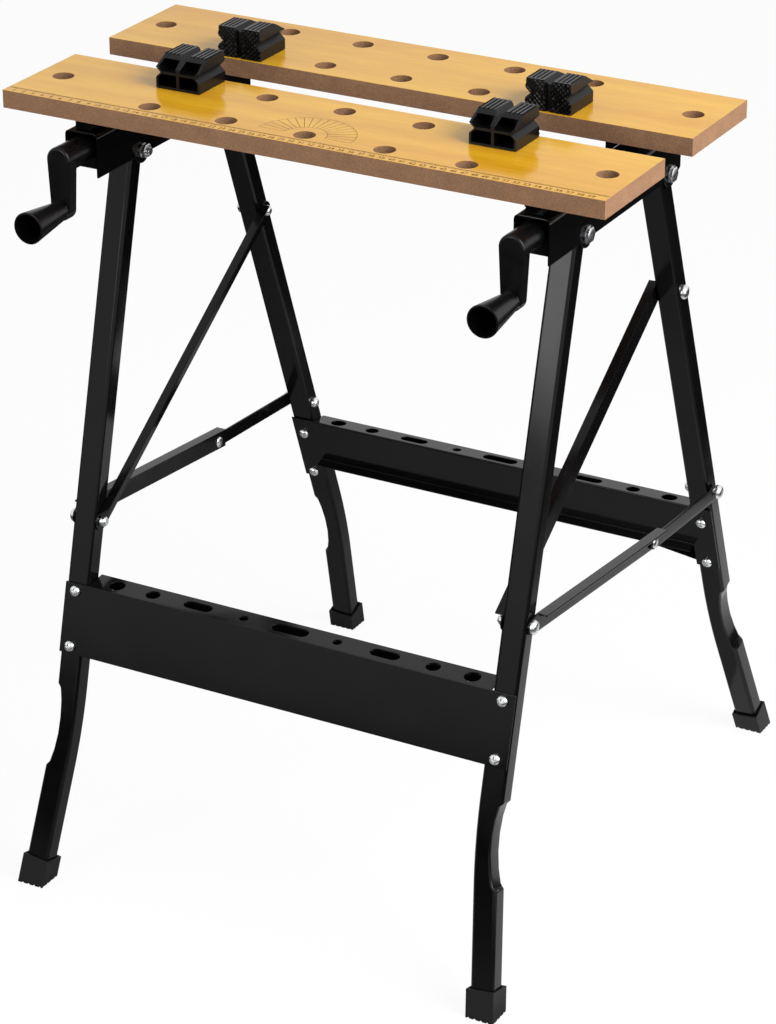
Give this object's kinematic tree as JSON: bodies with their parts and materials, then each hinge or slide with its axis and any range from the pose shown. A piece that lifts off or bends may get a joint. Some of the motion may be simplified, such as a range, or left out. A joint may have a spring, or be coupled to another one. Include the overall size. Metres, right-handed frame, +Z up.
{
  "type": "folding workbench",
  "caption": "Folding workbench with a two-board vice top, crank screws, swivel bench dogs, splayed tube legs, tool trays and an over-centre folding brace.",
  "frame": {"origin": "on the floor, midway between the front and rear feet and between the sides", "axes": "+Z up, +Y away from the cranks, +X to the right of a person working at the cranks"},
  "size_m": [0.605, 0.647, 0.8013],
  "materials": {
    "board": "satin wood-grain laminate on fibreboard",
    "black_paint": "gloss black paint on sheet steel",
    "black_plastic": "moulded black plastic",
    "rubber": "matt black rubber",
    "zinc": "bright zinc plate",
    "steel": "turned steel"
  },
  "bodies": {
    "top_frame": {"rail_left": "black_paint", "rail_right": "black_paint", "rear_jaw": "board", "rear_jaw_riser_left": "black_paint", "rear_jaw_riser_right": "black_paint", "screw_bush_left": "black_plastic", "screw_bush_right": "black_plastic", "front_pivot_bolt_left": "zinc", "front_pivot_bolt_right": "zinc", "rear_pivot_bolt_left": "zinc", "rear_pivot_bolt_right": "zinc"},
    "front_jaw": {"front_jaw": "board", "jaw_carriage_left": "black_paint", "jaw_carriage_right": "black_paint"},
    "front_frame": {"front_leg_left": "black_paint", "front_leg_right": "black_paint", "front_tray": "black_paint", "front_foot_left": "rubber", "front_foot_right": "rubber", "link_bolt_left": "zinc", "link_bolt_right": "zinc", "front_tray_bolt_upper_left": "zinc", "front_tray_bolt_upper_right": "zinc", "front_tray_bolt_lower_left": "zinc", "front_tray_bolt_lower_right": "zinc"},
    "rear_frame": {"rear_leg_left": "black_paint", "rear_leg_right": "black_paint", "rear_tray": "black_paint", "rear_foot_left": "rubber", "rear_foot_right": "rubber", "strut_bolt_left": "zinc", "strut_bolt_right": "zinc", "brace_nut_left": "zinc", "brace_nut_right": "zinc", "rear_tray_bolt_upper_left": "zinc", "rear_tray_bolt_upper_right": "zinc", "rear_tray_bolt_lower_left": "zinc", "rear_tray_bolt_lower_right": "zinc"},
    "struts": {"strut_left": "black_paint", "strut_right": "black_paint", "strut_pin_left": "zinc", "strut_pin_right": "zinc"},
    "brace_front": {"brace_front_left": "black_paint", "brace_front_right": "black_paint", "brace_rivet_left": "zinc", "brace_rivet_right": "zinc"},
    "brace_rear": {"brace_rear_left": "black_paint", "brace_rear_right": "black_paint", "brace_bolt_left": "zinc", "brace_bolt_right": "zinc"},
    "crank_left": {"crank_left": "black_plastic", "vice_screw_left": "steel"},
    "front_dog_left": {"front_dog_left": "black_plastic"},
    "rear_dog_left": {"rear_dog_left": "black_plastic"},
    "crank_right": {"crank_right": "black_plastic", "vice_screw_right": "steel"},
    "front_dog_right": {"front_dog_right": "black_plastic"},
    "rear_dog_right": {"rear_dog_right": "black_plastic"}
  },
  "joints": [
    {"name": "front_fold", "type": "hinge", "parent": "top_frame", "child": "front_frame", "pos_m": [0, -0.134, 0.7025], "axis": [-1, 0, 0], "range_deg": [0, 45]},
    {"name": "rear_fold", "type": "hinge", "parent": "top_frame", "child": "rear_frame", "pos_m": [0, 0.041, 0.7025], "axis": [-1, 0, 0], "range_deg": [0, 74.8]},
    {"name": "strut_fold", "type": "hinge", "parent": "front_frame", "child": "struts", "pos_m": [0, -0.22047, 0.35737], "axis": [1, 0, 0], "range_deg": [0, 26.2]},
    {"name": "brace_front_fold", "type": "hinge", "parent": "front_frame", "child": "brace_front", "pos_m": [0, -0.22047, 0.35737], "axis": [1, 0, 0], "range_deg": [0, 63.2]},
    {"name": "brace_rear_fold", "type": "hinge", "parent": "brace_front", "child": "brace_rear", "pos_m": [0, 0.0363, 0.33187], "axis": [-1, 0, 0], "range_deg": [0, 146.2]},
    {"name": "jaw_slide", "type": "slide", "parent": "top_frame", "child": "front_jaw", "axis": [0, 1, 0], "range_m": [0, 0.057]},
    {"name": "crank_turn_left", "type": "hinge", "parent": "top_frame", "child": "crank_left", "pos_m": [-0.228, -0.2, 0.724], "axis": [0, 1, 0], "range_deg": [0, 5131]},
    {"name": "crank_turn_right", "type": "hinge", "parent": "top_frame", "child": "crank_right", "pos_m": [0.228, -0.2, 0.724], "axis": [0, 1, 0], "range_deg": [0, 5131]},
    {"name": "front_dog_swivel_left", "type": "hinge", "parent": "front_jaw", "child": "front_dog_left", "pos_m": [-0.16, -0.1265, 0.772], "axis": [0, 0, 1], "continuous": true},
    {"name": "rear_dog_swivel_left", "type": "hinge", "parent": "top_frame", "child": "rear_dog_left", "pos_m": [-0.16, -0.0205, 0.772], "axis": [0, 0, 1], "continuous": true},
    {"name": "front_dog_swivel_right", "type": "hinge", "parent": "front_jaw", "child": "front_dog_right", "pos_m": [0.16, -0.1265, 0.772], "axis": [0, 0, 1], "continuous": true},
    {"name": "rear_dog_swivel_right", "type": "hinge", "parent": "top_frame", "child": "rear_dog_right", "pos_m": [0.16, -0.0205, 0.772], "axis": [0, 0, 1], "continuous": true}
  ],
  "couplings": [
    {"joint": "rear_fold", "follows": "front_fold", "ratio": 1.658},
    {"joint": "strut_fold", "follows": "front_fold", "ratio": 0.5783},
    {"joint": "brace_front_fold", "follows": "front_fold", "ratio": 1.4008},
    {"joint": "brace_rear_fold", "follows": "front_fold", "ratio": 3.2439},
    {"joint": "crank_turn_left", "follows": "jaw_slide", "rad_per_m": 1570.8},
    {"joint": "crank_turn_right", "follows": "jaw_slide", "rad_per_m": 1570.8}
  ]
}
